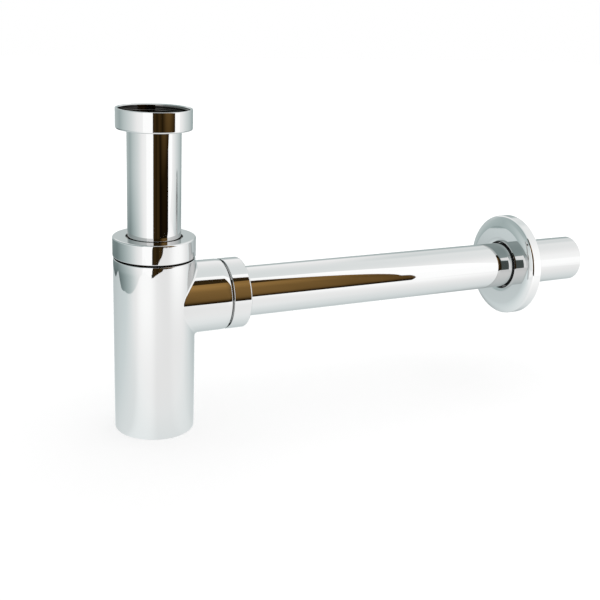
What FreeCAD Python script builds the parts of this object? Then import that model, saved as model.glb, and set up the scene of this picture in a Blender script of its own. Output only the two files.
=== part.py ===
import FreeCAD
import Part
import math
import os

# Bottle trap under a basin: inlet union, dip tube, cup with a side branch, outlet pipe, wall flange.
# Millimetres. The origin is on the inlet axis, at the inner end of the inlet nut's thread.
# +Z points up out of the nut's mouth and +X along the outlet pipe.

Vector = FreeCAD.Vector
UP = Vector(0, 0, 1)

# Clearances
bearing_gap = 0.05         # between flat faces that bear on each other
turning_gap = 0.3          # between round faces that turn or slide past each other
seal_gap = 0.1             # rubber on its tube
tube_hole_gap = 1.1        # nut hole round its tube
thread_gap = 0.3           # neck thread inside its nut, at the mean thread radius

# Tubes, both cut from the same stock
tube_od = 32.0
tube_wall = 1.0
tube_end_chamfer = 0.3
inlet_length = 175.0
outlet_length = 300.0

# Inlet union: a pipe thread of one and a quarter inches
inlet_thread_d = 41.91
inlet_tap_drill_d = 39.0
inlet_thread_length = 6.5
inlet_nut_wall = 1.5
inlet_nut_lip = 1.7
mouth_chamfer = 0.6
inlet_washer_depth = 0.2   # washer's top below the thread's inner end
inlet_washer_thickness = 2.0
collar_thickness = 1.5
nut_edge_round = 1.0
nut_edge_chamfer = 0.3

# Slip joints: the cone seal, slip washer, nut and threaded neck at the cup's mouth and branch
seal_section = 2.4
seal_tip = 0.6
seal_head = 2.0
seal_cone = 5.0
slip_washer_thickness = 1.0
slip_nut_height = 12.0
slip_nut_lip = 2.0
slip_nut_wall = 2.0
thread_pitch = 1.5
thread_form = 0.6134       # depth of a metric thread, as a share of its pitch
ring_neck_rim = 3.5
outlet_neck_rim = 1.0
groove = 1.2               # open joint between a nut and the shoulder below it
neck_bore_gap = 0.6
neck_edge_chamfer = 0.5

# Cup and branch, one piece
body_drop = 69.5           # inlet thread's inner end down to the top of the ring nut
body_height = 110.5        # shoulder to foot
body_inset = 0.22          # cup stands this much inside the ring nut
body_wall = 1.5
body_floor = 2.5
body_roof = 2.5
foot_round = 0.8
floor_round = 4.0
shoulder_chamfer = 0.5
branch_drop = 27.8         # cup's shoulder down to the branch axis
branch_reach = 43.0        # cup's axis out to the branch's shoulder
branch_wall = 2.0
branch_end_wall = 2.5
junction_round = 2.2

# Outlet pipe and wall flange
outlet_insert = 28.6       # pipe's inner end behind the outlet nut's face
flange_setback = 54.5      # pipe's outer end past the flange's back
flange_od = 71.5
flange_depth = 9.6
flange_sheet = 1.0
flange_hole_gap = 1.3
border_width = 4.5         # sloping border of the flange's face, across
border_drop = 2.45         # and along the pipe
border_round = 12.0        # where the face turns into the border
rim_round = 1.8            # where the border turns into the skirt
o_ring_section = 2.4

# Tube and inlet union, worked out
tube_r = tube_od / 2
tube_bore_r = tube_r - tube_wall
inlet_nut_r = inlet_thread_d / 2 + inlet_nut_wall
inlet_seat_r = inlet_tap_drill_d / 2
inlet_washer_top = -inlet_washer_depth
collar_top = inlet_washer_top - inlet_washer_thickness - bearing_gap
inlet_lip_top = collar_top - collar_thickness - bearing_gap
inlet_nut_bottom = inlet_lip_top - inlet_nut_lip

# Slip joints, worked out: heights run along the joint's own axis, from the nut's outer face inwards
thread_depth = thread_form * thread_pitch
seal_bore_r = tube_r + seal_gap
seal_r = seal_bore_r + seal_section
seal_tip_r = seal_bore_r + seal_tip
slip_washer_top = -slip_nut_lip - bearing_gap
seal_top = slip_washer_top - slip_washer_thickness - bearing_gap
neck_mouth = seal_top - seal_head
seal_end = neck_mouth - seal_cone
neck_shoulder = -slip_nut_height - groove
seat_r = seal_r + bearing_gap
neck_bore_r = tube_r + neck_bore_gap
seat_slope = (seal_r - seal_tip_r) / seal_cone
seat_end = neck_mouth - (seat_r - neck_bore_r) / seat_slope

# Cup and branch, worked out
ring_nut_r = seat_r + ring_neck_rim + thread_depth + slip_nut_wall
outlet_nut_r = seat_r + outlet_neck_rim + thread_depth + slip_nut_wall
body_r = ring_nut_r - body_inset
body_bore_r = body_r - body_wall
ring_face = -body_drop
body_shoulder = ring_face + neck_shoulder
body_foot = body_shoulder - body_height
branch_axis = body_shoulder - branch_drop
outlet_face = branch_reach - neck_shoulder
pipe_start = outlet_face - outlet_insert
flange_back = pipe_start + outlet_length - flange_setback


def outline(corners):
    """Closed wire in the XZ plane through (radius, height, edge) corners.

    A positive edge rounds its corner by that radius, a negative one chamfers it by that leg.
    """
    points = [Vector(radius, 0, height) for radius, height, _ in corners]
    corner_curves = []
    for i, here in enumerate(points):
        edge = corners[i][2]
        back = (points[i - 1] - here).normalize()
        ahead = (points[(i + 1) % len(points)] - here).normalize()
        half_angle = back.getAngle(ahead) / 2
        reach = edge / math.tan(half_angle) if edge > 0 else -edge
        start = here + back * reach
        end = here + ahead * reach
        if edge > 0:
            rise = edge / math.sin(half_angle) - edge
            crest = here + (back + ahead).normalize() * rise
            corner_curves.append((start, end, [Part.Arc(start, crest, end).toShape()]))
        elif edge < 0:
            corner_curves.append((start, end, [Part.makeLine(start, end)]))
        else:
            corner_curves.append((here, here, []))
    edges = []
    for i, (start, end, curve) in enumerate(corner_curves):
        edges.append(Part.makeLine(corner_curves[i - 1][1], start))
        edges.extend(curve)
    return Part.Wire(edges)


def turned(corners):
    """Solid turned about the Z axis from an outline of (radius, height, edge) corners."""
    return Part.Face(outline(corners)).revolve(Vector(), UP, 360)


def along_outlet(solid, x):
    """Turn a solid made along +Z to point along +X on the branch axis, with its origin at x."""
    solid.rotate(Vector(), Vector(0, 1, 0), 90)
    solid.translate(Vector(x, 0, branch_axis))
    return solid


def on_ring(solid):
    """Put a slip joint's solid on the cup's mouth."""
    solid.translate(Vector(0, 0, ring_face))
    return solid


def on_branch(solid):
    """Put a slip joint's solid on the branch."""
    return along_outlet(solid, outlet_face)


def tube(bottom, top):
    """Plain tube with deburred ends."""
    return turned([
        (tube_bore_r, bottom, -tube_end_chamfer),
        (tube_r, bottom, -tube_end_chamfer),
        (tube_r, top, -tube_end_chamfer),
        (tube_bore_r, top, -tube_end_chamfer),
    ])


def inlet_nut():
    """Round union nut: threaded mouth, plain seat of the tap drill's size, lip under the tube's collar."""
    thread_r = inlet_thread_d / 2
    lip_bore_r = tube_r + turning_gap
    chamfer_r = thread_r + mouth_chamfer
    chamfer_start = inlet_thread_length - mouth_chamfer
    return turned([
        (lip_bore_r, inlet_nut_bottom, 0),
        (inlet_nut_r, inlet_nut_bottom, nut_edge_round),
        (inlet_nut_r, inlet_thread_length, -nut_edge_chamfer),
        (chamfer_r, inlet_thread_length, 0),
        (thread_r, chamfer_start, 0),
        (thread_r, 0, 0),
        (inlet_seat_r, 0, 0),
        (inlet_seat_r, inlet_lip_top, 0),
        (lip_bore_r, inlet_lip_top, 0),
    ])


def inlet_washer():
    """Flat rubber washer between the basin waste and the tube's collar."""
    outer_r = inlet_seat_r - turning_gap
    bottom = inlet_washer_top - inlet_washer_thickness
    return turned([
        (tube_bore_r, bottom, 0),
        (outer_r, bottom, 0),
        (outer_r, inlet_washer_top, 0),
        (tube_bore_r, inlet_washer_top, 0),
    ])


def inlet_tube():
    """Dip tube with a collar at its top that the union nut pulls on."""
    collar_r = inlet_seat_r - turning_gap
    collar_bottom = collar_top - collar_thickness
    bottom = collar_top - inlet_length
    return turned([
        (tube_bore_r, bottom, -tube_end_chamfer),
        (tube_r, bottom, -tube_end_chamfer),
        (tube_r, collar_bottom, 0),
        (collar_r, collar_bottom, -tube_end_chamfer),
        (collar_r, collar_top, -tube_end_chamfer),
        (tube_bore_r, collar_top, -tube_end_chamfer),
    ])


def slip_nut(nut_r, neck_rim):
    """Round nut of a slip joint: an end lip round the tube and a bore at the mean thread radius."""
    hole_r = tube_r + tube_hole_gap
    bore_r = seat_r + neck_rim + thread_depth / 2 + thread_gap / 2
    return turned([
        (bore_r, -slip_nut_height, 0),
        (nut_r, -slip_nut_height, -nut_edge_chamfer),
        (nut_r, 0, nut_edge_round),
        (hole_r, 0, -nut_edge_chamfer),
        (hole_r, -slip_nut_lip, 0),
        (bore_r, -slip_nut_lip, 0),
    ])


def slip_washer(neck_rim):
    """Thin hard washer between a nut's lip and its seal, small enough to pass the nut's thread."""
    bore_r = tube_r + turning_gap
    outer_r = seat_r + neck_rim - turning_gap
    bottom = slip_washer_top - slip_washer_thickness
    return turned([
        (bore_r, bottom, 0),
        (outer_r, bottom, 0),
        (outer_r, slip_washer_top, 0),
        (bore_r, slip_washer_top, 0),
    ])


def cone_seal():
    """Rubber seal with a flat head and a cone that wedges between the tube and the neck's seat."""
    return turned([
        (seal_bore_r, seal_end, 0),
        (seal_tip_r, seal_end, 0),
        (seal_r, neck_mouth, 0),
        (seal_r, seal_top, 0),
        (seal_bore_r, seal_top, 0),
    ])


def threaded_neck_outside(neck_rim, shoulder_r, start, edge_round):
    """Outside of a neck and the stock below its shoulder, solid down to start on the axis."""
    neck_r = seat_r + neck_rim + thread_depth / 2 - thread_gap / 2
    return turned([
        (0, start, 0),
        (shoulder_r, start, edge_round),
        (shoulder_r, neck_shoulder, -shoulder_chamfer),
        (neck_r, neck_shoulder, 0),
        (neck_r, neck_mouth, -neck_edge_chamfer),
        (0, neck_mouth, 0),
    ])


def threaded_neck_inside(hollow_r, start, hollow_end, corner_round):
    """Inside of a neck: a hollow from start, the bore, the seal's conical seat and the open mouth."""
    past_mouth = neck_mouth + seal_head
    return turned([
        (0, start, 0),
        (hollow_r, start, corner_round),
        (hollow_r, hollow_end, 0),
        (neck_bore_r, hollow_end, 0),
        (neck_bore_r, seat_end, 0),
        (seat_r, neck_mouth, 0),
        (seat_r, past_mouth, 0),
        (0, past_mouth, 0),
    ])


def trap_body():
    """Cup with its side branch and both threaded necks, hollow, with a round along the saddle joint."""
    branch_r = outlet_nut_r
    outside = on_ring(threaded_neck_outside(ring_neck_rim, body_r, body_foot - ring_face, foot_round))
    branch = on_branch(threaded_neck_outside(outlet_neck_rim, branch_r, -outlet_face, 0))
    stock = outside.fuse(branch).removeSplitter()
    saddle = [edge for edge in stock.Edges if isinstance(edge.Curve, Part.BSplineCurve)]
    stock = stock.makeFillet(junction_round, saddle)
    floor = body_foot + body_floor - ring_face
    cavity = on_ring(threaded_neck_inside(body_bore_r, floor, neck_shoulder - body_roof, floor_round))
    branch_hollow_r = branch_r - branch_wall
    branch_end = neck_shoulder - branch_end_wall
    branch_cavity = on_branch(threaded_neck_inside(branch_hollow_r, -outlet_face, branch_end, 0))
    return stock.cut(cavity).cut(branch_cavity)


def wall_flange():
    """Pressed cover plate: flat face, sloping border with wide rounds, straight skirt, open back."""
    outer_r = flange_od / 2
    slope = math.atan2(border_drop, border_width)
    border_lean = math.tan(slope / 2)
    rim_lean = math.tan((math.pi / 2 - slope) / 2)

    def plate(inset, back):
        """The plate's outside, or its inside when inset by the sheet."""
        return turned([
            (0, back, 0),
            (outer_r - inset, back, 0),
            (outer_r - inset, flange_depth - border_drop - inset * rim_lean, rim_round - inset),
            (outer_r - border_width - inset * border_lean, flange_depth - inset, border_round - inset),
            (0, flange_depth - inset, 0),
        ])

    shell = plate(0, 0).cut(plate(flange_sheet, -flange_sheet))
    shell = shell.cut(Part.makeCylinder(tube_r + flange_hole_gap, flange_depth))
    shell.rotate(Vector(), Vector(1, 0, 0), 180)
    return along_outlet(shell, flange_back)


def flange_o_ring():
    """Rubber ring on the pipe, against the inside of the flange's face."""
    section_r = o_ring_section / 2
    ring_r = tube_r + seal_gap + section_r
    face_inside = flange_back - flange_depth + flange_sheet
    centre = Vector(face_inside + bearing_gap + section_r, 0, branch_axis)
    return Part.makeTorus(ring_r, section_r, centre, Vector(1, 0, 0))


nodes = {
    "inlet_nut": inlet_nut(),
    "inlet_washer": inlet_washer(),
    "inlet_tube": inlet_tube(),
    "ring_nut": on_ring(slip_nut(ring_nut_r, ring_neck_rim)),
    "ring_slip_washer": on_ring(slip_washer(ring_neck_rim)),
    "ring_cone_seal": on_ring(cone_seal()),
    "trap_body": trap_body(),
    "outlet_nut": on_branch(slip_nut(outlet_nut_r, outlet_neck_rim)),
    "outlet_slip_washer": on_branch(slip_washer(outlet_neck_rim)),
    "outlet_cone_seal": on_branch(cone_seal()),
    "outlet_tube": along_outlet(tube(0, outlet_length), pipe_start),
    "wall_flange": wall_flange(),
    "flange_o_ring": flange_o_ring(),
}

os.makedirs("parts", exist_ok=True)
for name, solid in nodes.items():
    solid.exportStep(os.path.join("parts", name + ".step"))
    box = solid.BoundBox
    print(f"{name}: {len(solid.Solids)} solid, valid {solid.isValid()}, {solid.Volume / 1000:.2f} cm3,"
          f" x {box.XMin:.2f} to {box.XMax:.2f}, z {box.ZMin:.2f} to {box.ZMax:.2f}")
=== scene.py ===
import math

import bpy
import numpy as np
from mathutils import Matrix


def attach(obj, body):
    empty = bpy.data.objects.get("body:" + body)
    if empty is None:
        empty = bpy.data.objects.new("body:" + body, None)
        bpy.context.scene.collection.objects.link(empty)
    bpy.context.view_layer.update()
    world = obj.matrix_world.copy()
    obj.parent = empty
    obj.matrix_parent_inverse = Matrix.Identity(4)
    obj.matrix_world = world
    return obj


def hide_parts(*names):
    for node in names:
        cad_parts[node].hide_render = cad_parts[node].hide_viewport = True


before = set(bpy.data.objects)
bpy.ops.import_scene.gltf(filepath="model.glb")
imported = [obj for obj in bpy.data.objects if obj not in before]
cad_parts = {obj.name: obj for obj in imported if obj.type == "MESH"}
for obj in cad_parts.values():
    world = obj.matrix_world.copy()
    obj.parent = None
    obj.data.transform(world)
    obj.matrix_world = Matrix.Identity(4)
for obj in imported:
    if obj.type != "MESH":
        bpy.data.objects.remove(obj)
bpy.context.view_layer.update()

# Inlet nut: the round union nut that screws up onto the basin's waste and carries the whole trap.
# Turned from brass bar and chrome plated. The pipe thread in its mouth is painted dark and the seat below it nearly
# black, a painted shade for the dark inside of the mouth, and the lip at its lower end holds the tube's collar.
inlet_nut_r, inlet_nut_low, inlet_nut_high = 22.455, -5.5, 6.5
inlet_seat_r, inlet_lip_r, inlet_lip_top = 19.5, 16.3, -3.8
inlet_root_r, inlet_crest_r, inlet_pitch = 20.955, 19.476, 2.309
mouth_chamfer, mouth_thread_low, lip_plated = 0.6, 0.15, 0.5
nut_low_edge, nut_top_edge, mouth_edge, lip_edge, seat_corner = 1.0, 0.35, 0.15, 0.2, 0.4
# Chrome grey is the plate's colour. The dark chrome and the two near-black thread colours are painted shade for the
# dark insides of mouths and seams.
chrome_grey, painted_shade_chrome = (0.66, 0.662, 0.66), (0.16, 0.153, 0.145)
painted_shade_black, painted_shade_bronze = (0.012, 0.009, 0.007), (0.055, 0.038, 0.022)
even = np.linspace(0, 2 * math.pi, 193)
millimetre = 0.001


def outline(corners, closed=True, steps=7):
    """Samples (radius, height, normal out, normal up) along the runs between (radius, height, edge) corners.

    Corners go anticlockwise round the metal. A positive edge is a round of that radius, made by turning the
    normal evenly from one run's to the next one's; a negative edge is a chamfer of that leg; 0 stays sharp.
    """
    spots = np.array(corners, float)[:, :2]
    ahead = np.roll(spots, -1, 0) - spots
    ahead /= np.linalg.norm(ahead, axis=1, keepdims=True)
    facing = np.stack([ahead[:, 1], -ahead[:, 0]], 1)
    samples = []
    for i, (_, _, edge) in enumerate(corners):
        spot, before, after = spots[i], facing[i - 1], facing[i]
        lean = math.atan2(before[0] * after[1] - before[1] * after[0], before @ after)
        if not closed and i == 0:
            samples.append([*spot, *after])
        elif not closed and i == len(corners) - 1:
            samples.append([*spot, *before])
        elif edge > 0:
            side = math.copysign(edge, lean)
            start = spot - ahead[i - 1] * edge * math.tan(abs(lean) / 2)
            turn = lean * np.linspace(0, 1, steps + 1)[:, None]
            normal = before * np.cos(turn) + np.array([-before[1], before[0]]) * np.sin(turn)
            samples.extend(np.hstack([start - before * side + normal * side, normal]))
        elif edge < 0:
            start, end = spot + ahead[i - 1] * edge, spot - ahead[i] * edge
            flat = (before + after) / np.linalg.norm(before + after)
            samples += [[*start, *before], [*start, *flat], [*end, *flat], [*end, *after]]
        else:
            samples += [[*spot, *before], [*spot, *after]]
    if closed:
        samples.append(samples[0])
    return np.array(samples)


def spun(samples, angle=even):
    """Grid (radius, angle, height and the normal along each): an outline swept round its axis."""
    radius, height, out, up = (samples[:, i, None] + 0 * angle for i in range(4))
    return np.stack([radius, angle + 0 * radius, height, out, 0 * radius, up], -1)


def turned(corners, angle=even):
    """Grid of an open outline through the corners, swept round its axis."""
    return spun(outline(corners, closed=False), angle)


def thread(plain_r, valley_r, crest_r, pitch, low, high, facing, angle=even):
    """Grid of a right-hand screw thread on a cylinder between two heights.

    Rows climb one pitch in a turn. Along a row the phase of the flat-topped ridge is constant, and the
    radius is the valley plus the ridge, faded into the plain radius over most of a pitch at both ends. The
    normal leans against the ridge's slope, both along the axis and round it.
    """
    root_start, flank, end_fade, probe = 0.8, 0.6, 0.8, 0.04

    def ridge(phase):
        return np.clip((root_start - abs(2 * (phase % 1) - 1)) / flank, 0, 1)

    turns, step = angle / (2 * math.pi), pitch / 12
    row = np.arange(low - pitch * turns[-1], high - pitch * turns[0] + step, step)[:, None]
    height = np.clip(row + pitch * turns, low, high)
    phase = row / pitch + 0 * turns
    fade = np.clip(np.minimum(height - low, high - height) / (end_fade * pitch), 0, 1)
    fade = fade * fade * (3 - 2 * fade)
    steepness = (ridge(phase + probe) - ridge(phase - probe)) / (2 * probe) * (crest_r - valley_r) * fade
    radius = plain_r + fade * (valley_r + (crest_r - valley_r) * ridge(phase) - plain_r)
    normal = np.stack([1 + 0 * radius, steepness / (2 * math.pi * radius), -steepness / pitch], -1)
    normal *= facing / np.linalg.norm(normal, axis=-1, keepdims=True)
    return np.concatenate([np.stack([radius, angle + 0 * radius, height], -1), normal], -1)


def upright(grid):
    """Points and normals of a grid round the inlet's vertical axis."""
    radius, angle, height, out, along, up = np.moveaxis(grid, -1, 0)
    c, s = np.cos(angle), np.sin(angle)
    return (np.stack([radius * c, radius * s, height], -1),
            np.stack([out * c - along * s, out * s + along * c, up], -1))


def skin(name, *finishes):
    """One mesh from (material, patches) pairs, each patch a grid of points in millimetres and of normals.

    Corners that meet to a micrometre are merged, a square that has shrunk to a side is dropped and one that has
    shrunk to a triangle stays one. Every face is turned to its normals, and its corners keep them for shading.
    """
    points, normals, squares, paints, start = [], [], [], [], 0
    for paint, (_, patches) in enumerate(finishes):
        for place, normal in patches:
            rows, columns = place.shape[:2]
            index = start + np.arange(rows * columns).reshape(rows, columns)
            square = np.stack([index[:-1, :-1], index[:-1, 1:], index[1:, 1:], index[1:, :-1]], -1)
            square = square.reshape(-1, 4)
            points.append(place.reshape(-1, 3) * millimetre)
            normals.append(normal.reshape(-1, 3))
            squares.append(square)
            paints.append(np.full(len(square), paint))
            start += rows * columns
    points, normals = np.concatenate(points), np.concatenate(normals)
    squares, paints = np.concatenate(squares), np.concatenate(paints)
    across = np.cross(points[squares[:, 2]] - points[squares[:, 0]],
                      points[squares[:, 3]] - points[squares[:, 1]])
    inward = (across * normals[squares].sum(1)).sum(1) < 0
    squares[inward] = squares[inward, ::-1]
    # The shift keeps corners at round sizes off the border between two cells.
    microns, off_border = 1e6, 0.37
    cells = np.round(points * microns + off_border).astype(np.int64)
    _, first, merged = np.unique(cells, axis=0, return_index=True, return_inverse=True)
    merged = merged.ravel()
    shrunk = merged[squares] == np.roll(merged[squares], -1, 1)
    whole, single = shrunk.sum(1) == 0, shrunk.sum(1) == 1
    four = squares[whole]
    three = squares[single][~shrunk[single]].reshape(-1, 3)
    mesh = bpy.data.meshes.new(name)
    mesh.from_pydata(points[first].tolist(), [], merged[four].tolist() + merged[three].tolist())
    mesh.polygons.foreach_set("use_smooth", np.ones(len(mesh.polygons), bool))
    face_paints = np.concatenate([paints[whole], paints[single]]).astype(np.int32)
    mesh.polygons.foreach_set("material_index", face_paints)
    corner_normals = np.concatenate([normals[four].reshape(-1, 3), normals[three].reshape(-1, 3)])
    mesh.normals_split_custom_set(corner_normals.tolist())
    for material, _ in finishes:
        mesh.materials.append(material)
    piece = bpy.data.objects.new(name, mesh)
    bpy.context.scene.collection.objects.link(piece)
    return piece


def principled(name):
    """New material, the calls that add and join its nodes, and its shader."""
    material = bpy.data.materials.new(name)
    material.use_nodes = True
    tree = material.node_tree
    return material, tree.nodes.new, tree.links.new, tree.nodes["Principled BSDF"]


def noise(add, join, place, scale, detail=2, distortion=0):
    """Level of a noise at a place. The scale is a number or another node's value."""
    node = add("ShaderNodeTexNoise")
    node.inputs["Detail"].default_value = detail
    node.inputs["Distortion"].default_value = distortion
    if isinstance(scale, (int, float)):
        node.inputs["Scale"].default_value = scale
    else:
        join(scale, node.inputs["Scale"])
    join(place, node.inputs["Vector"])
    return node.outputs["Fac"]


def two_tones(add, join, shader, level, low, high):
    """Colour and roughness that blend from low to high as a level rises.

    Low and high are each the level at which the colour is reached, the colour and the roughness.
    """
    ramp, gloss = add("ShaderNodeValToRGB"), add("ShaderNodeMapRange")
    for element, (reached, colour, _) in zip(ramp.color_ramp.elements, (low, high)):
        element.position, element.color = reached, (*colour, 1)
    gloss.inputs["To Min"].default_value, gloss.inputs["To Max"].default_value = low[2], high[2]
    join(level, ramp.inputs["Fac"])
    join(level, gloss.inputs["Value"])
    join(ramp.outputs["Color"], shader.inputs["Base Color"])
    join(gloss.outputs["Result"], shader.inputs["Roughness"])


def relief(add, join, shader, height, strength, depth):
    """Bump on a shader from a height, with its depth in metres."""
    bump = add("ShaderNodeBump")
    bump.inputs["Strength"].default_value = strength
    bump.inputs["Distance"].default_value = depth
    join(height, bump.inputs["Height"])
    join(bump.outputs["Normal"], shader.inputs["Normal"])


def plating_group():
    """Bright plating: faint clouds in the colour, a wisp of haze in the gloss, and the metal's slow ripple."""
    group = bpy.data.node_groups.new("bright_plating", "ShaderNodeTree")
    for way, labels in (("INPUT", ("Colour", "Clouds", "Gloss", "Haze", "Ripple size")),
                        ("OUTPUT", ("Colour", "Roughness", "Height"))):
        for label in labels:
            kind = "NodeSocketColor" if label == "Colour" else "NodeSocketFloat"
            group.interface.new_socket(label, in_out=way, socket_type=kind)
    add, join = group.nodes.new, group.links.new
    given, result = add("NodeGroupInput"), add("NodeGroupOutput")
    place = add("ShaderNodeTexCoord").outputs["Object"]
    dim = add("ShaderNodeMath")
    dim.operation = "MULTIPLY"
    join(noise(add, join, place, scale=22, detail=4), dim.inputs[0])
    join(given.outputs["Clouds"], dim.inputs[1])
    shade = add("ShaderNodeMix")
    shade.data_type, shade.blend_type = "RGBA", "MULTIPLY"
    shade.inputs["B"].default_value = (0.80, 0.81, 0.83, 1)
    join(dim.outputs[0], shade.inputs["Factor"])
    join(given.outputs["Colour"], shade.inputs["A"])
    join(shade.outputs["Result"], result.inputs["Colour"])
    haze = add("ShaderNodeMath")
    haze.operation = "MULTIPLY_ADD"
    join(noise(add, join, place, scale=60, detail=6, distortion=0.6), haze.inputs[0])
    join(given.outputs["Haze"], haze.inputs[1])
    join(given.outputs["Gloss"], haze.inputs[2])
    join(haze.outputs[0], result.inputs["Roughness"])
    join(noise(add, join, place, scale=given.outputs["Ripple size"], detail=1), result.inputs["Height"])
    return group


bright_plating = plating_group()


def chrome(name, colour, clouds, gloss, haze, ripple, depth):
    """Chrome plate on brass: the plating group drives colour, gloss and a very shallow bump.

    At a glancing angle chromium mirrors less than most metals, which the edge tint gives.
    """
    material, add, join, shader = principled(name)
    shader.inputs["Metallic"].default_value = 1
    shader.inputs["Specular Tint"].default_value = (0.8, 0.8, 0.8, 1)
    plating = add("ShaderNodeGroup")
    plating.node_tree = bright_plating
    plating.inputs["Colour"].default_value = (*colour, 1)
    for label, value in (("Clouds", clouds), ("Gloss", gloss), ("Haze", haze), ("Ripple size", ripple)):
        plating.inputs[label].default_value = value
    join(plating.outputs["Colour"], shader.inputs["Base Color"])
    join(plating.outputs["Roughness"], shader.inputs["Roughness"])
    relief(add, join, shader, plating.outputs["Height"], strength=1, depth=depth)
    return material


def bare_brass(name, axis_scale, dark_tone, light_tone):
    """Brass without plating: two tones in streaks along the draw, duller in the darker one, and fine tool lines.

    On bores the tones are brass and its tarnish. Given near-black tones, it is a painted shade.
    """
    material, add, join, shader = principled(name)
    shader.inputs["Metallic"].default_value = 1
    draw = add("ShaderNodeMapping")
    draw.inputs["Scale"].default_value = axis_scale
    join(add("ShaderNodeTexCoord").outputs["Object"], draw.inputs["Vector"])
    place = draw.outputs["Vector"]
    tone_streaks, tool_lines = noise(add, join, place, scale=90, detail=6), noise(add, join, place, scale=900)
    two_tones(add, join, shader, tone_streaks, low=(0.3, dark_tone, 0.5), high=(0.7, light_tone, 0.28))
    relief(add, join, shader, tool_lines, strength=0.4, depth=0.00003)
    return material


nut_chrome = chrome("nut_chrome", chrome_grey, clouds=0.10, gloss=0.015, haze=0.02, ripple=140, depth=0.000002)
# Dark plating on the mouth's thread: a painted shade for the dark inside of the mouth.
painted_shade_plating = chrome("painted_shade_plating", painted_shade_chrome, clouds=0.6, gloss=0.03, haze=0.04, ripple=200,
                        depth=0.000004)
# Near-black brass: painted shade on threads, seats and necks that lie deep in the seams and mouths.
painted_shade_brass = bare_brass("painted_shade_brass", (1, 1, 1), painted_shade_black, painted_shade_bronze)
nut_outside = turned([
    (inlet_lip_r, inlet_nut_low + lip_plated, 0), (inlet_lip_r, inlet_nut_low, lip_edge),
    (inlet_nut_r, inlet_nut_low, nut_low_edge), (inlet_nut_r, inlet_nut_high, nut_top_edge),
    (inlet_root_r + mouth_chamfer, inlet_nut_high, mouth_edge), (inlet_root_r, inlet_nut_high - mouth_chamfer, 0)])
nut_thread = thread(inlet_root_r, inlet_crest_r, inlet_root_r, inlet_pitch,
                    mouth_thread_low, inlet_nut_high - mouth_chamfer, -1)
nut_seat = turned([
    (inlet_root_r, mouth_thread_low, 0), (inlet_root_r, 0, 0), (inlet_seat_r, 0, 0),
    (inlet_seat_r, inlet_lip_top, seat_corner), (inlet_lip_r, inlet_lip_top, lip_edge),
    (inlet_lip_r, inlet_nut_low + lip_plated, 0)])
# The mouth's thread and seat are painted dark: painted shade inside the mouth.
inlet_nut = skin("union_nut", (nut_chrome, [upright(nut_outside)]), (painted_shade_plating, [upright(nut_thread)]),
                 (painted_shade_brass, [upright(nut_seat)]))
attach(inlet_nut, "inlet_nut")
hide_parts("inlet_nut")

# Inlet washer: the flat ring that seals the waste's end to the tube's collar.
# Punched from black rubber sheet, so its edges are a little soft and its face is matt.
washer_bore_r, washer_r, washer_low, washer_high = 15.0, 19.2, -2.2, -0.2
washer_low_edge, washer_high_edge = 0.2, 0.25
rubber_black = (0.016, 0.016, 0.017)


def rubber(name, colour, gloss):
    """Matt black rubber: mottled from black to a paler and duller bloom, with a granular bump."""
    material, add, join, shader = principled(name)
    shader.inputs["Specular IOR Level"].default_value = 0.35
    place = add("ShaderNodeTexCoord").outputs["Object"]
    bloom = [3 * value for value in colour]
    mottling, grain = noise(add, join, place, scale=180, detail=5), noise(add, join, place, scale=2500)
    two_tones(add, join, shader, mottling, low=(0.35, colour, gloss), high=(0.8, bloom, gloss + 0.25))
    relief(add, join, shader, grain, strength=0.5, depth=0.00005)
    return material


black_rubber = rubber("black_rubber", rubber_black, gloss=0.5)
inlet_washer = skin("union_washer", (black_rubber, [upright(spun(outline([
    (washer_bore_r, washer_low, washer_low_edge), (washer_r, washer_low, washer_low_edge),
    (washer_r, washer_high, washer_high_edge), (washer_bore_r, washer_high, washer_high_edge)], steps=4)))]))
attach(inlet_washer, "inlet_nut")
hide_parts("inlet_washer")

# Inlet tube: the straight tube that hangs from the union and dips into the cup's water.
# Drawn brass tube, chrome plated outside and bare inside, with a collar soldered on at its top.
tube_r, tube_bore_r = 16.0, 15.0
collar_r, collar_low, collar_high, dip_end = 19.2, -3.75, -2.25, -177.25
tube_edge, tube_mouth_edge, collar_edge, collar_root = 0.25, 0.3, 0.25, 0.3
mouth_plated, end_plated = 0.6, 0.5
brass_brown, brass_yellow = (0.33, 0.21, 0.08), (0.66, 0.47, 0.20)
tube_chrome = chrome("tube_chrome", chrome_grey, clouds=0.08, gloss=0.012, haze=0.02, ripple=90, depth=0.000003)
dip_bore = bare_brass("dip_tube_bore", (1, 1, 0.06), brass_brown, brass_yellow)
dip_outside = turned([
    (tube_bore_r, dip_end + end_plated, 0), (tube_bore_r, dip_end, -tube_edge), (tube_r, dip_end, tube_edge),
    (tube_r, collar_low, collar_root), (collar_r, collar_low, collar_edge), (collar_r, collar_high, collar_edge),
    (tube_bore_r, collar_high, tube_mouth_edge), (tube_bore_r, collar_high - mouth_plated, 0)])
dip_inside = turned([(tube_bore_r, collar_high - mouth_plated, 0), (tube_bore_r, dip_end + end_plated, 0)])
inlet_tube = skin("dip_tube", (tube_chrome, [upright(dip_outside)]), (dip_bore, [upright(dip_inside)]))
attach(inlet_tube, "inlet_tube")
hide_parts("inlet_tube")

# Ring nut: the round nut on top of the cup that squeezes the seal onto the inlet tube.
# Turned brass, chrome plated, with a metric thread inside and a wide soft edge round its top.
ring_face, slip_height, slip_lip, slip_hole_r = -69.5, 12.0, 2.0, 17.1
ring_nut_r, ring_bore_r = 24.97, 22.66
slip_pitch, slip_depth = 1.5, 0.92
low_edge, low_rim, face_edge, hole_edge, hole_plated = 0.5, 0.7, 1.0, 0.3, 0.6
thread_lead, lead_chamfer, lip_corner, lip_round = 0.5, 0.4, 0.4, 0.3


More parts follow.
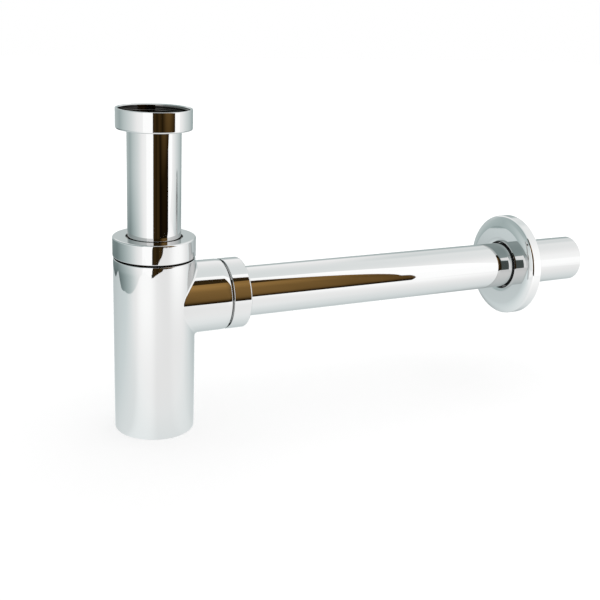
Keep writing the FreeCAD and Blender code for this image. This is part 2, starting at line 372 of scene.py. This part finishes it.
def slip_nut(face, nut_r, bore_r):
    """Grids of a slip nut below its face: the plated outside, the dark inside and the lower face.

    The outside goes from the lower edge round to the hole. The inside is the lip's underside and the thread,
    which lies half its depth either side of the bore.
    """
    low, high = face - slip_height, face - slip_lip
    outside = turned([
        (nut_r - low_rim, low, 0), (nut_r, low, low_edge), (nut_r, face, face_edge),
        (slip_hole_r, face, hole_edge), (slip_hole_r, face - hole_plated, 0)])
    lip = turned([
        (slip_hole_r, face - hole_plated, 0), (slip_hole_r, high, lip_edge), (bore_r, high, lip_round),
        (bore_r, high - lip_corner, 0)])
    turns = thread(bore_r, bore_r - slip_depth / 2, bore_r + slip_depth / 2, slip_pitch,
                   low + thread_lead, high - lip_corner, -1)
    below = turned([(bore_r, low + thread_lead, 0), (bore_r, low, -lead_chamfer), (nut_r - low_rim, low, 0)])
    return outside, [lip, turns], below


ring_outside, ring_inside, ring_low_face = slip_nut(ring_face, ring_nut_r, ring_bore_r)
# The thread, the lip's underside and the lower face are painted nearly black: painted shade in the groove above the
# cup.
ring_nut = skin("ring_nut_chrome", (nut_chrome, [upright(ring_outside)]),
                (painted_shade_brass, [upright(grid) for grid in (*ring_inside, ring_low_face)]))
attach(ring_nut, "ring_nut")
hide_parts("ring_nut")

# Ring slip washer: the thin hard washer under the ring nut's lip. It lets the nut turn without dragging the
# seal. Stamped from natural white plastic, so its edges are just broken.
slip_washer_bore_r, slip_washer_low, slip_washer_high, slip_washer_edge = 16.3, -3.05, -2.05, 0.15
ring_washer_r = 21.75
milk_dull, milk_white = (0.66, 0.66, 0.62), (0.82, 0.82, 0.79)


def slip_plastic(name):
    """Natural white plastic: milky, faintly cloudy between two whites and duller in the brighter one."""
    material, add, join, shader = principled(name)
    milk = noise(add, join, add("ShaderNodeTexCoord").outputs["Object"], scale=120, detail=4)
    two_tones(add, join, shader, milk, low=(0, milk_dull, 0.3), high=(1, milk_white, 0.55))
    return material


def slip_washer(face, outer_r):
    """Grid of the flat washer below a slip nut's face."""
    low, high, edge = face + slip_washer_low, face + slip_washer_high, slip_washer_edge
    return spun(outline([
        (slip_washer_bore_r, low, edge), (outer_r, low, edge),
        (outer_r, high, edge), (slip_washer_bore_r, high, edge)], steps=4))


white_plastic = slip_plastic("white_plastic")
ring_washer = skin("ring_washer_white", (white_plastic, [upright(slip_washer(ring_face, ring_washer_r))]))
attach(ring_washer, "ring_slip_washer")
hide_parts("ring_slip_washer")

# Ring cone seal: the cone that the nut wedges between the inlet tube and the cup's conical mouth.
# Moulded black rubber, with a flat head under the washer.
seal_bore_r, seal_r, seal_tip_r = 16.1, 18.5, 16.7
seal_tip, seal_shoulder, seal_head = -10.1, -5.1, -3.1
tip_bore_edge, tip_edge, cone_edge, head_edge, head_bore_edge = 0.1, 0.25, 0.2, 0.3, 0.2


def cone_seal(face):
    """Grid of the seal below a slip nut's face: a flat head, and a cone that narrows to a thin tip on the tube."""
    return spun(outline([
        (seal_bore_r, face + seal_tip, tip_bore_edge), (seal_tip_r, face + seal_tip, tip_edge),
        (seal_r, face + seal_shoulder, cone_edge), (seal_r, face + seal_head, head_edge),
        (seal_bore_r, face + seal_head, head_bore_edge)], steps=4))


ring_seal = skin("ring_seal_rubber", (black_rubber, [upright(cone_seal(ring_face))]))
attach(ring_seal, "trap_body")
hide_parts("ring_cone_seal")

# Trap body: the cup with its side branch, one brass piece, ground, polished and chrome plated outside.
# The branch runs into the cup in a saddle with a small even round. Both ends are hollow threaded necks with
# a conical seat in the mouth. Only the root of the branch's neck is plated. The ring's neck, both threads and both
# seats are painted nearly black, a painted shade in the seams and mouths, and the inside is bare metal.
cup_r, cup_bore_r, cup_shoulder, cup_foot, cup_floor, cup_roof = 24.75, 23.25, -82.7, -193.2, -190.7, -85.2
branch_axis, branch_r, branch_bore_r, branch_shoulder, branch_wall_in = -110.5, 22.47, 20.47, 43.0, 40.5
saddle_round, shoulder_round, foot_round, floor_round = 2.2, 0.5, 0.8, 4.0
neck_bore_r, seat_r, seat_depth = 16.6, 18.55, 5.417
ring_neck_r, branch_neck_r, neck_height, neck_plain, neck_rim = 22.36, 19.86, 8.1, 1.4, 0.6
neck_root, neck_chamfer, seat_edge, neck_bore_edge = 0.2, 0.5, 0.15, 0.3
cup_fall, cup_lean, branch_fall, branch_lean, shoulder_rim = 6.0, 0.031, 3.8, 0.11, 0.7
fall_start, fall_blend = 0.8, 0.4
window_columns, window_rows, outer_window, inner_window, seam = 42, 56, 26.0, 23.5, 1.0


def on_outlet(grid):
    """Points and normals of a grid round the outlet's level axis, its heights measured along +X."""
    radius, angle, height, out, along, up = np.moveaxis(grid, -1, 0)
    c, s = np.cos(angle), np.sin(angle)
    return (np.stack([height, radius * c, branch_axis + radius * s], -1),
            np.stack([up, out * c - along * s, out * s + along * c], -1))


def window_edge(half_height):
    """The branch's window in a cup wall: angle and height of its edge's points, once round, and the
    direction round the branch that each belongs to."""
    span = even[window_columns]
    across = even[1:window_columns + 1]
    across = np.concatenate([-across[::-1], [0], across])
    level = np.linspace(-half_height, half_height, window_rows + 1)
    angle = np.concatenate([0 * level[:-1] + span, across[:0:-1], 0 * level[:-1] - span, across])
    height = np.concatenate([level[:-1], 0 * across[1:] + half_height, level[:0:-1], 0 * across - half_height])
    return angle, height, np.unwrap(np.arctan2(height / half_height, angle / span))


def cup_wall(radius, half_height, hole, facing):
    """Patches of a cup wall beside the branch: the band outside the window, and the window filled by
    straight blends, on the unrolled wall, from the hole's edge to the window's edge."""
    edge_angle, edge_height, _ = window_edge(half_height)
    round_angle = even[window_columns:-window_columns]
    level = np.linspace(-half_height, half_height, window_rows + 1)[:, None]
    blend = np.linspace(0, 1, 8)[:, None]
    walls = [(round_angle + 0 * level, level + 0 * round_angle),
             (hole[0] + (edge_angle - hole[0]) * blend, hole[1] + (edge_height - hole[1]) * blend)]
    return [upright(np.stack([radius + 0 * angle, angle, branch_axis + height,
                              facing + 0 * angle, 0 * angle, 0 * angle], -1)) for angle, height in walls]


def neck(plain_r, mouth):
    """Outline of a neck, shoulder to mouth, and its thread: the plain stretch below the thread, the thread,
    then the broken edge, the mouth's rim, the conical seat and the top of the bore."""
    shoulder = mouth - neck_height
    return ([(plain_r, shoulder, neck_root), (plain_r, shoulder + neck_plain, 0)],
            [(plain_r, mouth - neck_rim, 0), (plain_r, mouth, -neck_chamfer), (seat_r, mouth, seat_edge),
             (neck_bore_r, mouth - seat_depth, neck_bore_edge)],
            (plain_r, plain_r - slip_depth / 2, plain_r + slip_depth / 2, slip_pitch,
             shoulder + neck_plain, mouth - neck_rim, 1))


def saddle():
    """Patches of the outside joint: a ball of the round's radius rolls along cup and branch, its centre on the
    curve where both are larger by that radius; the round is the arc between its two touching points."""
    _, _, psi = window_edge(outer_window)
    reach = branch_r + saddle_round
    y, z = reach * np.cos(psi), reach * np.sin(psi)
    x = np.sqrt((cup_r + saddle_round) ** 2 - y ** 2)
    wall = cup_wall(cup_r, outer_window, (np.arctan2(y, x), z), 1)
    to_cup = -np.stack([x, y, 0 * x], -1) / (cup_r + saddle_round)
    to_branch = -np.stack([0 * x, np.cos(psi), np.sin(psi)], -1)
    opening = np.arccos(np.clip((to_cup * to_branch).sum(-1), -1, 1))[:, None]
    step = np.linspace(0, 1, 10)[:, None, None]
    spoke = (np.sin((1 - step) * opening) * to_cup + np.sin(step * opening) * to_branch) / np.sin(opening)
    centre = np.stack([x, y, branch_axis + z], -1)
    rows = np.linspace(branch_shoulder - branch_fall, branch_shoulder - seam, 8)[:, None]
    barrel = np.concatenate([[x], rows + 0 * x])
    branch = on_outlet(np.stack([branch_r + 0 * barrel, psi + 0 * barrel, barrel,
                                 1 + 0 * barrel, 0 * barrel, 0 * barrel], -1))
    return [*wall, (centre + saddle_round * spoke, -spoke), branch]


def buffed(place, normal):
    """The polishing wheel's mark: over the last millimetres before each shoulder the wall falls away along a
    shallow parabola and its normal leans that way, but not where the branch and the cup meet."""
    x, y, z = np.moveaxis(place, -1, 0)
    clear = np.clip((abs(np.arctan2(y, x)) - fall_start) / fall_blend, 0, 1)
    cup_side = np.clip((np.hypot(x, y) - cup_r) / shoulder_rim + 1, 0, 1) * clear * clear * (3 - 2 * clear)
    branch_side = np.clip((np.hypot(y, z - branch_axis) - branch_r) / shoulder_rim + 1, 0, 1)
    up = np.clip((z - cup_shoulder) / cup_fall + 1, 0, 1) * cup_side
    out = np.clip((x - branch_shoulder) / branch_fall + 1, 0, 1) * branch_side
    inward = 1 - cup_lean * cup_fall / 2 * up * up / cup_r
    narrow = 1 - branch_lean * branch_fall / 2 * out * out / branch_r
    place = np.stack([x * inward, y * inward * narrow, branch_axis + (z - branch_axis) * narrow], -1)
    normal = normal + np.stack([branch_lean * out, 0 * x, cup_lean * up], -1)
    return place, normal / np.linalg.norm(normal, axis=-1, keepdims=True)


def inner_crossing():
    """Patches of the inside joint, where the branch's bore breaks through the cup's bore with a sharp edge."""
    _, _, psi = window_edge(inner_window)
    y, z = branch_bore_r * np.cos(psi), branch_bore_r * np.sin(psi)
    x = np.sqrt(cup_bore_r ** 2 - y ** 2)
    barrel = np.stack([x, 0 * x + branch_wall_in - seam])
    bore = on_outlet(np.stack([branch_bore_r + 0 * barrel, psi + 0 * barrel, barrel,
                               -1 + 0 * barrel, 0 * barrel, 0 * barrel], -1))
    return [*cup_wall(cup_bore_r, inner_window, (np.arctan2(y, x), z), -1), bore]


ring_below, ring_above, ring_thread = neck(ring_neck_r, cup_shoulder + neck_height)
branch_below, branch_above, branch_thread = neck(branch_neck_r, branch_shoulder + neck_height)
round_branch = window_edge(outer_window)[2]
body_chrome = chrome("body_chrome", chrome_grey, clouds=0.10, gloss=0.014, haze=0.025, ripple=70, depth=0.000004)
cup_inside = bare_brass("cup_inside", (1, 1, 0.4), brass_brown, brass_yellow)
plated = [
    upright(turned([(0, cup_foot, 0), (cup_r, cup_foot, foot_round), (cup_r, branch_axis - outer_window, 0)])),
    upright(turned([(cup_r, branch_axis + outer_window, 0), (cup_r, cup_shoulder, shoulder_round),
                    (cup_r - shoulder_rim, cup_shoulder, 0)])),
    *saddle(),
    on_outlet(turned([(branch_r, branch_shoulder - seam, 0), (branch_r, branch_shoulder, shoulder_round),
                      (branch_r - shoulder_rim, branch_shoulder, 0), *branch_below], round_branch))]
# Painted shade: the ring's neck, both threads and both seats are painted nearly black for the dark seams and
# mouths.
threaded = [
    upright(turned([(cup_r - shoulder_rim, cup_shoulder, 0), *ring_below])),
    upright(thread(*ring_thread)),
    upright(turned([*ring_above, (neck_bore_r, cup_roof + seam, 0)])),
    on_outlet(thread(*branch_thread, round_branch)),
    on_outlet(turned([*branch_above, (neck_bore_r, branch_wall_in + seam, 0)], round_branch))]
hollow = [
    upright(turned([(neck_bore_r, cup_roof + seam, 0), (neck_bore_r, cup_roof, 0), (cup_bore_r, cup_roof, 0),
                    (cup_bore_r, branch_axis + inner_window, 0)])),
    *inner_crossing(),
    upright(turned([(cup_bore_r, branch_axis - inner_window, 0), (cup_bore_r, cup_floor, floor_round),
                    (0, cup_floor, 0)])),
    on_outlet(turned([(neck_bore_r, branch_wall_in + seam, 0), (neck_bore_r, branch_wall_in, 0),
                      (branch_bore_r, branch_wall_in, 0), (branch_bore_r, branch_wall_in - seam, 0)],
                     round_branch))]
trap_body = skin("trap_body_chrome", (body_chrome, [buffed(*patch) for patch in plated]),
                 (painted_shade_brass, threaded), (cup_inside, hollow))
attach(trap_body, "trap_body")
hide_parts("trap_body")

# Outlet cone seal: the same cone as the ring's, wedged between the outlet tube and the branch's conical mouth.
# Moulded black rubber, with its flat head towards the outlet nut.
outlet_face = 56.2
outlet_seal = skin("outlet_seal_rubber", (black_rubber, [on_outlet(cone_seal(outlet_face))]))
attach(outlet_seal, "trap_body")
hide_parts("outlet_cone_seal")

# Outlet slip washer: the thin hard washer between the seal and the outlet nut's lip, smaller than the ring's.
# Stamped from the same white plastic.
outlet_washer_r = 19.25
outlet_washer = skin("outlet_washer_white", (white_plastic, [on_outlet(slip_washer(outlet_face, outlet_washer_r))]))
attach(outlet_washer, "outlet_slip_washer")
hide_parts("outlet_slip_washer")

# Outlet nut: the round nut on the branch that squeezes the seal onto the outlet tube.
# Turned brass, chrome plated, the ring nut's form one size smaller, with its lower face plated too.
outlet_nut_r, outlet_bore_r = 22.47, 20.16
outlet_outside, outlet_inside, outlet_low_face = slip_nut(outlet_face, outlet_nut_r, outlet_bore_r)
# Its thread and the lip's underside are painted nearly black: painted shade inside the nut.
outlet_nut = skin("outlet_nut_chrome", (nut_chrome, [on_outlet(outlet_outside), on_outlet(outlet_low_face)]),
                  (painted_shade_brass, [on_outlet(grid) for grid in outlet_inside]))
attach(outlet_nut, "outlet_nut")
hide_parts("outlet_nut")

# Outlet tube: the straight pipe from the branch into the wall, cut to length on site.
# The same drawn brass tube as the inlet's, plated outside, with both cut ends deburred.
pipe_start, pipe_end = 27.6, 327.6
pipe_bore = bare_brass("pipe_bore", (0.06, 1, 1), brass_brown, brass_yellow)
pipe_outside = turned([
    (tube_bore_r, pipe_start + end_plated, 0), (tube_bore_r, pipe_start, -tube_edge),
    (tube_r, pipe_start, tube_edge), (tube_r, pipe_end, tube_edge),
    (tube_bore_r, pipe_end, -tube_edge), (tube_bore_r, pipe_end - end_plated, 0)])
pipe_inside = turned([(tube_bore_r, pipe_end - end_plated, 0), (tube_bore_r, pipe_start + end_plated, 0)])
outlet_tube = skin("outlet_pipe", (tube_chrome, [on_outlet(pipe_outside)]), (pipe_bore, [on_outlet(pipe_inside)]))
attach(outlet_tube, "outlet_tube")
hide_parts("outlet_tube")

# Wall flange: the cover plate that hides the hole in the wall, pushed along the pipe until it touches the wall.
# Pressed from brass sheet and chrome plated: flat face that falls softly into the hole, wide soft border,
# straight skirt, hollow behind.
flange_back, flange_depth, flange_r, flange_hole_r, flange_sheet = 273.1, 9.6, 35.75, 17.3, 1.0
border_width, border_drop, border_round, rim_round = 4.5, 2.45, 12.0, 1.8
hole_soft, hole_soft_r, hole_lean = 1.6, 7.5, math.radians(22)
skirt_in_edge, skirt_edge, plate_hole_edge, hole_back_edge = 0.2, 0.3, 0.15, 0.2
flange_grey = (0.70, 0.702, 0.70)
border_slope = math.atan2(border_drop, border_width)
border_shift = flange_sheet * math.tan(border_slope / 2)
rim_shift = flange_sheet * math.tan((math.pi / 2 - border_slope) / 2)
plate = outline([
    (flange_r - flange_sheet, 0, skirt_in_edge), (flange_r, 0, skirt_edge),
    (flange_r, flange_depth - border_drop, rim_round), (flange_r - border_width, flange_depth, border_round),
    (flange_hole_r + hole_soft, flange_depth, hole_soft_r),
    (flange_hole_r, flange_depth - hole_soft * math.tan(hole_lean), plate_hole_edge),
    (flange_hole_r, flange_depth - flange_sheet, hole_back_edge),
    (flange_r - border_width - border_shift, flange_depth - flange_sheet, border_round - flange_sheet),
    (flange_r - flange_sheet, flange_depth - border_drop - rim_shift, rim_round - flange_sheet)], steps=10)
flange_chrome = chrome("flange_chrome", flange_grey, clouds=0.10, gloss=0.015, haze=0.03, ripple=45,
                       depth=0.000008)
wall_flange = skin("cover_plate", (flange_chrome, [
    on_outlet(spun(plate * (1, -1, 1, -1) + (0, flange_back, 0, 0)))]))
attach(wall_flange, "wall_flange")
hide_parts("wall_flange")

# Flange O-ring: the round rubber ring behind the plate's face that grips the pipe, so the plate stays put.
# Moulded black rubber of round section.
o_ring_r, o_ring_place, o_ring_section_r = 17.3, 265.75, 1.2
ring_turn = np.linspace(0, 2 * math.pi, 33)
out, along = np.cos(ring_turn), np.sin(ring_turn)
o_ring_section = np.stack([o_ring_r + o_ring_section_r * out, o_ring_place + o_ring_section_r * along,
                           out, along], 1)
o_ring = skin("plate_o_ring", (black_rubber, [on_outlet(spun(o_ring_section))]))
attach(o_ring, "wall_flange")
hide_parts("flange_o_ring")

# Studio: the trap stands on a pale table under soft light. Polished metal shows what stands round it, so the
# studio is part of the look: the table with its edges, white panels, and the brown of a dim room in front.
scene = bpy.context.scene
floor_z = cup_foot * millimetre
studio_gain = 1.37


def sheet(name, corners, material, mirrored_only=True):
    """Flat sheet of the studio through the corners, seen by all rays or only in the metal."""
    mesh = bpy.data.meshes.new(name)
    mesh.from_pydata(corners, [], [tuple(range(len(corners)))])
    mesh.materials.append(material)
    flat = bpy.data.objects.new(name, mesh)
    scene.collection.objects.link(flat)
    if mirrored_only:
        flat.visible_camera = flat.visible_diffuse = flat.visible_shadow = False
    return flat


def shader_tree(name):
    """Empty material and its node tree."""
    material = bpy.data.materials.new(name)
    material.use_nodes = True
    tree = material.node_tree
    tree.nodes.remove(tree.nodes["Principled BSDF"])
    return material, tree


def position(tree, kind="Object"):
    """Coordinates of the shaded spot: all three together, then x, y and z."""
    place, split = tree.nodes.new("ShaderNodeTexCoord"), tree.nodes.new("ShaderNodeSeparateXYZ")
    tree.links.new(place.outputs[kind], split.inputs[0])
    return place.outputs[kind], *split.outputs


def scale_between(tree, source, low, high, start, end, smooth=False):
    """Value that runs from start to end while the source runs from low to high."""
    node = tree.nodes.new("ShaderNodeMapRange")
    node.interpolation_type = "SMOOTHSTEP" if smooth else "LINEAR"
    for socket, value in zip(node.inputs[1:5], (low, high, start, end)):
        socket.default_value = value
    tree.links.new(source, node.inputs["Value"])
    return node.outputs["Result"]


def combine(tree, operation, first, second):
    """Sum, product and so on of two values."""
    node = tree.nodes.new("ShaderNodeMath")
    node.operation = operation
    for socket, value in zip(node.inputs, (first, second)):
        if isinstance(value, (int, float)):
            socket.default_value = value
        else:
            tree.links.new(value, socket)
    return node.outputs[0]


def darkened(tree, level, share):
    """Level with a share taken off it."""
    return combine(tree, "MULTIPLY", level, combine(tree, "SUBTRACT", 1.0, share))


def with_vector(tree, operation, source, fixed=(0, 0, 0)):
    """Vector operation on a source and a fixed vector: a number for a distance or a dot product, else a vector."""
    node = tree.nodes.new("ShaderNodeVectorMath")
    node.operation = operation
    node.inputs[1].default_value = fixed
    tree.links.new(source, node.inputs[0])
    return node.outputs["Value" if operation in ("DISTANCE", "DOT_PRODUCT") else "Vector"]


def grey_steps(tree, source, stops):
    """Grey level through (position, level) stops."""
    ramp = tree.nodes.new("ShaderNodeValToRGB")
    for _ in stops[2:]:
        ramp.color_ramp.elements.new(0.5)
    for element, (reached, level) in zip(ramp.color_ramp.elements, stops):
        element.position = reached
        element.color = (level, level, level, 1)
    tree.links.new(source, ramp.inputs["Fac"])
    return ramp.outputs["Color"]


def level_between(tree, share, first, second):
    """Level that is the first where the share is 0 and the second where it is 1."""
    node = tree.nodes.new("ShaderNodeMix")
    for label, value in (("Factor", share), ("A", first), ("B", second)):
        tree.links.new(value, node.inputs[label])
    return node.outputs["Result"]


def colour_between(tree, share, first, second):
    """Colour that is the first where the share is 0 and the second where it is 1."""
    node = tree.nodes.new("ShaderNodeMix")
    node.data_type = "RGBA"
    node.inputs["A"].default_value, node.inputs["B"].default_value = (*first, 1), (*second, 1)
    tree.links.new(share, node.inputs["Factor"])
    return node.outputs["Result"]


def glowing(material, tree, level, colour=None):
    """The material, shining with a level in a colour or in white."""
    shine = tree.nodes.new("ShaderNodeEmission")
    if colour is not None:
        tree.links.new(colour, shine.inputs["Color"])
    tree.links.new(combine(tree, "MULTIPLY", level, studio_gain), shine.inputs["Strength"])
    tree.links.new(shine.outputs[0], tree.nodes["Material Output"].inputs["Surface"])
    return material


def floor_material():
    """Pale floor: matt white for light, and partly clear for the eye.

    For the eye a share of matt white keeps the shadow, and the rest is clear to the white surroundings, a little
    more further out where the lamp falls off. So a cup that has been slid down below the floor still shows.
    """
    material, tree = shader_tree("pale_floor")
    add, join = tree.nodes.new, tree.links.new
    matt, faint = add("ShaderNodeBsdfDiffuse"), add("ShaderNodeBsdfDiffuse")
    clear = add("ShaderNodeBsdfTransparent")
    matt.inputs["Color"].default_value = (0.8, 0.8, 0.8, 1)
    faint.inputs["Color"].default_value = (0.26, 0.26, 0.26, 1)
    far = with_vector(tree, "DISTANCE", add("ShaderNodeTexCoord").outputs["Object"], (0.1, -0.05, floor_z))
    join(scale_between(tree, far, 0.15, 0.75, 0.735, 0.90), clear.inputs["Color"])
    shadowed, eye = add("ShaderNodeAddShader"), add("ShaderNodeMixShader")
    join(clear.outputs[0], shadowed.inputs[0])
    join(faint.outputs[0], shadowed.inputs[1])
    join(add("ShaderNodeLightPath").outputs["Is Camera Ray"], eye.inputs["Fac"])
    join(matt.outputs[0], eye.inputs[1])
    join(shadowed.outputs[0], eye.inputs[2])
    join(eye.outputs[0], tree.nodes["Material Output"].inputs["Surface"])
    return material


def table_material():
    """Table as the metal sees it: a white glow, dimmer behind the trap, with a pool of light at either front
    corner, a faint beam from the trap towards each, and the cover plate's shadow."""
    material, tree = shader_tree("pale_table")
    place, x, y, _ = position(tree)
    level = grey_steps(tree, scale_between(tree, y, -0.4, 0.4, 0, 1), [
        (0.0, 0.85), (0.42, 0.84), (0.50, 0.77), (0.56, 0.71), (0.66, 0.67), (1.0, 0.62)])
    aim = with_vector(tree, "NORMALIZE", with_vector(tree, "MULTIPLY", place, (1, 1, 0)))
    for pool, beam, pool_level, beam_level in (((-0.23, -0.27, floor_z), (-0.66, -0.75, 0), 0.11, 0.10),
                                               ((0.34, -0.30, floor_z), (0.75, -0.66, 0), 0.17, 0.04)):
        away, along = with_vector(tree, "DISTANCE", place, pool), with_vector(tree, "DOT_PRODUCT", aim, beam)
        level = combine(tree, "ADD", level, scale_between(tree, away, 0.04, 0.28, pool_level, 0, True))
        level = combine(tree, "ADD", level, scale_between(tree, along, 0.86, 1.0, 0, beam_level, True))
    level = darkened(tree, level, combine(tree, "MULTIPLY", scale_between(tree, y, -0.01, 0.30, 0, 0.22),
                                          scale_between(tree, x, -0.05, 0.08, 0, 1, True)))
    under = with_vector(tree, "DISTANCE", place, (0.32, 0.08, floor_z))
    level = combine(tree, "SUBTRACT", level, scale_between(tree, under, 0.02, 0.10, 0.20, 0, True))
    behind = scale_between(tree, y, -0.12, 0.08, 0, 1, True)
    return glowing(material, tree, level, colour_between(tree, behind, (1.0, 1.0, 1.0), (0.91, 1.0, 1.01)))


def room_material():
    """Dim room: brown that lightens with height and to the right, in soft upright streaks, black low down and
    under the beam along its top, and a plain dark grey at its far left."""
    material, tree = shader_tree("room_brown")
    add, join = tree.nodes.new, tree.links.new
    place, x, _, z = position(tree)
    squeeze = add("ShaderNodeMapping")
    squeeze.inputs["Scale"].default_value = (1, 1, 0.05)
    join(place, squeeze.inputs["Vector"])
    streak = noise(add, join, squeeze.outputs["Vector"], scale=6, detail=3)
    level = grey_steps(tree, scale_between(tree, z, -0.4, 1.2, 0, 1), [
        (0.0, 0.006), (0.09, 0.014), (0.135, 0.06), (0.18, 0.12), (0.25, 0.15), (0.55, 0.185), (0.8, 0.30)])
    for share in (scale_between(tree, x, 0.05, 0.40, 0.15, 1, True), scale_between(tree, x, 0.80, 0.86, 1, 0.7),
                  scale_between(tree, streak, 0.35, 0.65, 0.85, 1.15)):
        level = combine(tree, "MULTIPLY", level, share)
    beam_end = combine(tree, "SUBTRACT", x, scale_between(tree, z, 1.3, 2.1, 0, 0.13))
    level = darkened(tree, level, combine(tree, "MULTIPLY", scale_between(tree, z, 1.25, 1.30, 0, 0.88),
                                          scale_between(tree, beam_end, 0.92, 1.0, 1, 0)))
    faint = combine(tree, "MULTIPLY", scale_between(tree, x, 0.1, 0.35, 0.022, 0),
                    scale_between(tree, streak, 0.35, 0.65, 0.2, 1.8))
    far_left = scale_between(tree, x, -0.40, -0.52, 0, 1)
    level = combine(tree, "MAXIMUM", level, faint)
    level = combine(tree, "MAXIMUM", level, combine(tree, "MULTIPLY", far_left, 0.10))
    return glowing(material, tree, level, colour_between(tree, far_left, (1.0, 0.56, 0.17), (0.85, 1.0, 0.96)))


def panel_material():
    """White panel, a little brighter in its middle height."""
    material, tree = shader_tree("white_panel")
    *_, z = position(tree)
    return glowing(material, tree, grey_steps(tree, scale_between(tree, z, -0.6, 1.8, 0, 1), [
        (0.0, 1.06), (0.4, 1.12), (1.0, 1.04)]))


floor = sheet("studio_floor", [(x, y, floor_z) for x, y in ((-3, -3), (3, -3), (3, 3), (-3, 3))],
              floor_material(), False)
floor.visible_glossy = floor.visible_transmission = False
sheet("table_top", [(x, y, floor_z) for x, y in (
    (-0.32, -0.315), (-0.17, -0.335), (-0.138, -0.352), (-0.098, -0.39), (-0.057, -0.421), (-0.028, -0.436),
    (0.013, -0.451), (0.030, -0.462), (0.05, -0.486), (0.153, -0.464), (0.224, -0.43), (0.29, -0.405),
    (0.50, -0.395), (0.50, 0.42), (0.10, 0.42), (0.0, 0.40), (-0.095, 0.352), (-0.175, 0.302), (-0.27, 0.27),
    (-0.280, 0.162), (-0.308, 0.08), (-0.315, 0.0))], table_material())
sheet("dim_room", [(x, -1.085, z) for x, z in (
    (-0.75, -0.9), (0.98, -0.9), (0.985, -0.25), (1.2, -0.2), (1.2, -0.02), (0.90, 0.05), (0.868, 0.2),
    (0.966, 0.93), (1.07, 1.75), (1.15, 2.5), (-0.75, 2.5))], room_material())
white_panel = panel_material()
sheet("panel_left", [(-0.194 - 0.787 * s, -0.49 + 0.617 * s, z) for s, z in (
    (0.002, 0.43), (0.007, -0.06), (0.016, -0.203), (0.026, -0.204), (0.028, -0.222), (0.043, -0.2225),
    (0.045, -0.36), (0.26, -0.36), (0.26, 0.43))], white_panel)
sheet("panel_right", [(1.10 - 0.365 * s, -1.10 + 0.529 * s, z) for s, z in (
    (0, -0.9), (1, -0.9), (1, 0.15), (1.3, 0.3), (1.3, 0.5), (1.5, 0.65), (1.5, 1.3), (1.3, 2.5), (0, 2.5))],
    white_panel)
sheet("card_right", [(x, -0.40, z) for x, z in (
    (0.43, -0.195), (0.75, -0.195), (0.75, 0.02), (0.43, 0.02))], white_panel)
sheet("panel_front", [(x, -1.10, z) for x, z in (
    (0.80, -0.9), (1.10, -0.9), (1.10, 2.5), (0.80, 2.5))], white_panel)

# Surroundings: white for the eye, soft for the light, and for the metal a pale room that is darker behind,
# low down and overhead, with a cool tint in its dark parts.
world = bpy.data.worlds.new("studio")
world.use_nodes = True
scene.world = world
tree = world.node_tree
_, x, y, z = position(tree, "Generated")
sides = grey_steps(tree, scale_between(tree, y, 1, -1, 0, 1), [
    (0.0, 0.56), (0.05, 0.48), (0.12, 0.42), (0.25, 0.55), (0.4, 0.66), (0.5, 0.73), (0.68, 0.91), (0.82, 0.99),
    (0.9, 1.08)])
low_down = grey_steps(tree, scale_between(tree, z, -0.32, -0.16, 0, 1), [
    (0.0, 0.05), (0.21, 0.18), (0.29, 0.40), (0.44, 0.52), (0.62, 0.76), (0.81, 0.97), (0.9, 1.0)])
sides = darkened(tree, sides, combine(tree, "MULTIPLY", combine(tree, "SUBTRACT", 1.0, low_down),
                                      scale_between(tree, y, -0.6, 1.0, 0, 1)))
above = grey_steps(tree, z, [(0.3, 1.0), (0.5, 0.98), (0.8, 0.83), (0.95, 0.76)])
above = darkened(tree, above, combine(tree, "MULTIPLY", scale_between(tree, x, 0.46, 0.55, 0, 0.17, True),
                                      scale_between(tree, y, 0.2, 0.45, 0, 1, True)))
above = combine(tree, "MULTIPLY", above, scale_between(tree, x, -0.45, -0.05, 0.45, 1, True))
high_up = grey_steps(tree, z, [(0.12, 0), (0.24, 0.3), (0.31, 0.3), (0.42, 1)])
in_metal = level_between(tree, high_up, sides, above)
rays = tree.nodes.new("ShaderNodeLightPath").outputs
mirrored = combine(tree, "MAXIMUM", rays["Is Glossy Ray"], rays["Is Transmission Ray"])
plain = scale_between(tree, rays["Is Camera Ray"], 0, 1, 0.62, 1)
level = level_between(tree, mirrored, plain, combine(tree, "MULTIPLY", in_metal, studio_gain))
cool = combine(tree, "MULTIPLY", mirrored, scale_between(tree, in_metal, 0.2, 0.9, 1, 0))
tint = colour_between(tree, cool, (1, 1, 1), (0.77, 1.0, 1.0))
tree.links.new(tint, tree.nodes["Background"].inputs["Color"])
tree.links.new(level, tree.nodes["Background"].inputs["Strength"])

# Lamp: one wide soft light overhead, a little to the right.
# It lays the shadow on the floor, and the metal doesn't mirror it.
lamp = bpy.data.lights.new("soft_top", "AREA")
lamp.shape, lamp.size, lamp.size_y, lamp.energy = "RECTANGLE", 1.8, 1.8, 14.0
soft_top = bpy.data.objects.new("soft_top", lamp)
soft_top.location = (0.6, 0.1, 1.0)
soft_top.visible_camera = soft_top.visible_glossy = False
scene.collection.objects.link(soft_top)

# Camera: a slightly long lens in front of the trap, to its left and above it.
# The yaw turns it to the right of +Y, the pitch tips it down and the roll turns it about its own axis.
eye = (-0.18265, -0.54434, 0.07562)
yaw, pitch, roll = math.radians(27.503), math.radians(17.747), math.radians(-2.650)
forward = np.array([math.sin(yaw) * math.cos(pitch), math.cos(yaw) * math.cos(pitch), -math.sin(pitch)])
across = np.array([math.cos(yaw), -math.sin(yaw), 0])
down = np.cross(forward, across)
right = math.cos(roll) * across + math.sin(roll) * down
below = -math.sin(roll) * across + math.cos(roll) * down
lens = bpy.data.cameras.new("camera")
lens.sensor_width, lens.lens, lens.clip_start = 36, 58.27, 0.01
camera = bpy.data.objects.new("camera", lens)
pose = np.eye(4)
pose[:3, 0], pose[:3, 1], pose[:3, 2], pose[:3, 3] = right, -below, -forward, eye
camera.matrix_world = Matrix(pose.tolist())
scene.collection.objects.link(camera)
scene.camera = camera
scene.view_settings.view_transform = "Standard"
